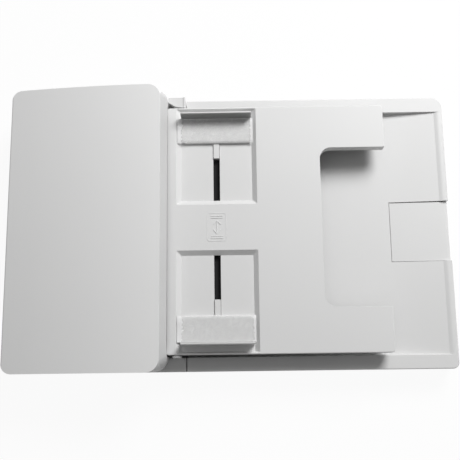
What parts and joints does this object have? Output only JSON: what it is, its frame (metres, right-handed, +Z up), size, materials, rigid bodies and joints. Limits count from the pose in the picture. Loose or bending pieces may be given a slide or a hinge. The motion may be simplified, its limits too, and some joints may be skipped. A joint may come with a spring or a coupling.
{
  "type": "document feeder and scanner lid",
  "caption": "Scanner lid of an all-in-one inkjet printer with a document feeder: feeder cover, lifting input tray with coupled paper guides, rollers, gear drive and fold-out document stop.",
  "frame": {"origin": "centre of the unit's rectangle, on the plane its rubber bumpers stand on", "axes": "+X right from the feeder to the document stop, +Y back, +Z up"},
  "size_m": [0.425, 0.27, 0.074],
  "materials": {
    "casing": "light grey fine spark-eroded texture",
    "tray": "light grey fine spark-eroded texture",
    "guide": "light grey, smoother than the casing",
    "black_plastic": "black, lightly ribbed",
    "white_plastic": "natural acetal",
    "bumper_rubber": "soft black rubber",
    "roller_rubber": "ground dark grey rubber",
    "steel": "ground bright steel",
    "plated_steel": "zinc-plated sheet",
    "foam": "closed-cell foam",
    "white_sheet": "smooth white film",
    "board": "green solder mask"
  },
  "bodies": {
    "lid": {"lid_shell": "casing", "lid_panel": "casing", "foam_pad": "foam", "white_sheet": "white_sheet", "hinge_plate_left": "plated_steel", "hinge_plate_right": "plated_steel", "bumper_left_front": "bumper_rubber", "bumper_left_rear": "bumper_rubber", "bumper_right_front": "bumper_rubber", "bumper_right_rear": "bumper_rubber", "feeder_base": "casing", "lower_guide": "black_plastic", "inner_guide": "black_plastic", "frame_front": "black_plastic", "frame_rear": "black_plastic", "tray_bracket_front": "casing", "tray_bracket_rear": "casing", "motor": "plated_steel", "gear_plate": "plated_steel", "sensor_board": "board", "separation_spring": "steel"},
    "cover": {"cover": "casing", "cover_guide": "black_plastic"},
    "tray": {"tray": "tray", "tray_bottom": "black_plastic"},
    "guide_rear": {"guide_rear": "guide"},
    "guide_front": {"guide_front": "guide"},
    "guide_pinion": {"guide_pinion": "white_plastic"},
    "flap": {"stop_flap": "casing"},
    "separator": {"separation_holder": "black_plastic", "separation_pad": "bumper_rubber"},
    "backing": {"scan_backing": "white_sheet"},
    "feed": {"feed_shaft": "steel", "feed_hub": "white_plastic", "feed_tyre": "roller_rubber", "feed_gear": "white_plastic", "feed_pulley": "white_plastic"},
    "arm": {"pickup_arm": "black_plastic", "pickup_belt": "bumper_rubber"},
    "pickup": {"pickup_hub": "white_plastic", "pickup_tyre": "roller_rubber"},
    "transport": {"transport_shaft": "steel", "transport_tyre_front": "roller_rubber", "transport_tyre_rear": "roller_rubber", "transport_gear": "white_plastic"},
    "exit": {"exit_shaft": "steel", "exit_tyre_front": "roller_rubber", "exit_tyre_rear": "roller_rubber", "exit_gear": "white_plastic"},
    "pinch_front": {"transport_pinch_front": "white_plastic"},
    "pinch_rear": {"transport_pinch_rear": "white_plastic"},
    "exit_pinch_front": {"exit_pinch_front": "white_plastic"},
    "exit_pinch_rear": {"exit_pinch_rear": "white_plastic"},
    "rotor": {"motor_pinion": "white_plastic"},
    "centre_gear": {"centre_gear": "white_plastic"},
    "idler": {"idler_gear": "white_plastic"},
    "flag": {"document_flag": "black_plastic"}
  },
  "joints": [
    {"name": "cover_hinge", "type": "hinge", "parent": "lid", "child": "cover", "pos_m": [-0.2055, 0, 0.038], "axis": [0, -1, 0], "range_deg": [0, 85]},
    {"name": "tray_lift", "type": "hinge", "parent": "lid", "child": "tray", "pos_m": [-0.054, 0, 0.0435], "axis": [0, -1, 0], "range_deg": [0, 38]},
    {"name": "guide_rear_slide", "type": "slide", "parent": "tray", "child": "guide_rear", "axis": [0, -1, 0], "range_m": [0, 0.04]},
    {"name": "guide_front_slide", "type": "slide", "parent": "tray", "child": "guide_front", "axis": [0, 1, 0], "range_m": [0, 0.04]},
    {"name": "guide_pinion_spin", "type": "hinge", "parent": "tray", "child": "guide_pinion", "pos_m": [-0.0151, 0, 0.0415], "axis": [0, 0, -1], "range_deg": [0, 385]},
    {"name": "flap_hinge", "type": "hinge", "parent": "lid", "child": "flap", "pos_m": [0.2096, -0.002, 0.0217], "axis": [0, 1, 0], "range_deg": [0, 170]},
    {"name": "separator_slide", "type": "slide", "parent": "lid", "child": "separator", "axis": [0, 0, 1], "range_m": [-0.0015, 0], "stiffness_N_per_m": 300, "springref_m": 0.004, "deforming": ["separation_spring"]},
    {"name": "backing_slide", "type": "slide", "parent": "lid", "child": "backing", "axis": [0, 0, 1], "range_m": [0, 0.001]},
    {"name": "transport_spin", "type": "hinge", "parent": "lid", "child": "transport", "pos_m": [-0.156, 0, 0.038], "axis": [0, 1, 0], "continuous": true},
    {"name": "idler_spin", "type": "hinge", "parent": "lid", "child": "idler", "pos_m": [-0.14323, 0, 0.02531], "axis": [0, 1, 0], "continuous": true},
    {"name": "centre_spin", "type": "hinge", "parent": "lid", "child": "centre_gear", "pos_m": [-0.124, 0, 0.036], "axis": [0, 1, 0], "continuous": true},
    {"name": "feed_spin", "type": "hinge", "parent": "lid", "child": "feed", "pos_m": [-0.10799, 0, 0.05649], "axis": [0, 1, 0], "continuous": true},
    {"name": "arm_swing", "type": "hinge", "parent": "lid", "child": "arm", "pos_m": [-0.10799, 0, 0.05649], "axis": [0, -1, 0], "range_deg": [0, 8]},
    {"name": "pickup_spin", "type": "hinge", "parent": "arm", "child": "pickup", "pos_m": [-0.08599, 0, 0.0573], "axis": [0, 1, 0], "continuous": true},
    {"name": "exit_spin", "type": "hinge", "parent": "lid", "child": "exit", "pos_m": [-0.11414, 0, 0.01746], "axis": [0, 1, 0], "continuous": true},
    {"name": "motor_spin", "type": "hinge", "parent": "lid", "child": "rotor", "pos_m": [-0.1043, 0, 0.03253], "axis": [0, 1, 0], "continuous": true},
    {"name": "pinch_front_spin", "type": "hinge", "parent": "cover", "child": "pinch_front", "pos_m": [-0.156, 0, 0.0517], "axis": [0, 1, 0], "continuous": true},
    {"name": "pinch_rear_spin", "type": "hinge", "parent": "cover", "child": "pinch_rear", "pos_m": [-0.156, 0, 0.0517], "axis": [0, 1, 0], "continuous": true},
    {"name": "exit_pinch_front_spin", "type": "hinge", "parent": "lid", "child": "exit_pinch_front", "pos_m": [-0.11414, 0, 0.00776], "axis": [0, 1, 0], "continuous": true},
    {"name": "exit_pinch_rear_spin", "type": "hinge", "parent": "lid", "child": "exit_pinch_rear", "pos_m": [-0.11414, 0, 0.00776], "axis": [0, 1, 0], "continuous": true},
    {"name": "flag_swing", "type": "hinge", "parent": "lid", "child": "flag", "pos_m": [-0.09199, 0, 0.042], "axis": [0, -1, 0], "range_deg": [0, 40], "stiffness_Nm_per_rad": 0.001, "springref_deg": -11.46}
  ],
  "couplings": [
    {"joint": "guide_front_slide", "follows": "guide_rear_slide", "ratio": 1},
    {"joint": "guide_pinion_spin", "follows": "guide_rear_slide", "rad_per_m": 166.67},
    {"joint": "idler_spin", "follows": "transport_spin", "ratio": -1.25},
    {"joint": "centre_spin", "follows": "transport_spin", "ratio": 0.71429},
    {"joint": "feed_spin", "follows": "transport_spin", "ratio": -0.83333},
    {"joint": "pickup_spin", "follows": "transport_spin", "ratio": -0.83333},
    {"joint": "exit_spin", "follows": "transport_spin", "ratio": -1.4286},
    {"joint": "motor_spin", "follows": "transport_spin", "ratio": -1.6667},
    {"joint": "pinch_front_spin", "follows": "transport_spin", "ratio": -1.4545},
    {"joint": "pinch_rear_spin", "follows": "transport_spin", "ratio": -1.4545},
    {"joint": "exit_pinch_front_spin", "follows": "transport_spin", "ratio": 2.449},
    {"joint": "exit_pinch_rear_spin", "follows": "transport_spin", "ratio": 2.449}
  ]
}
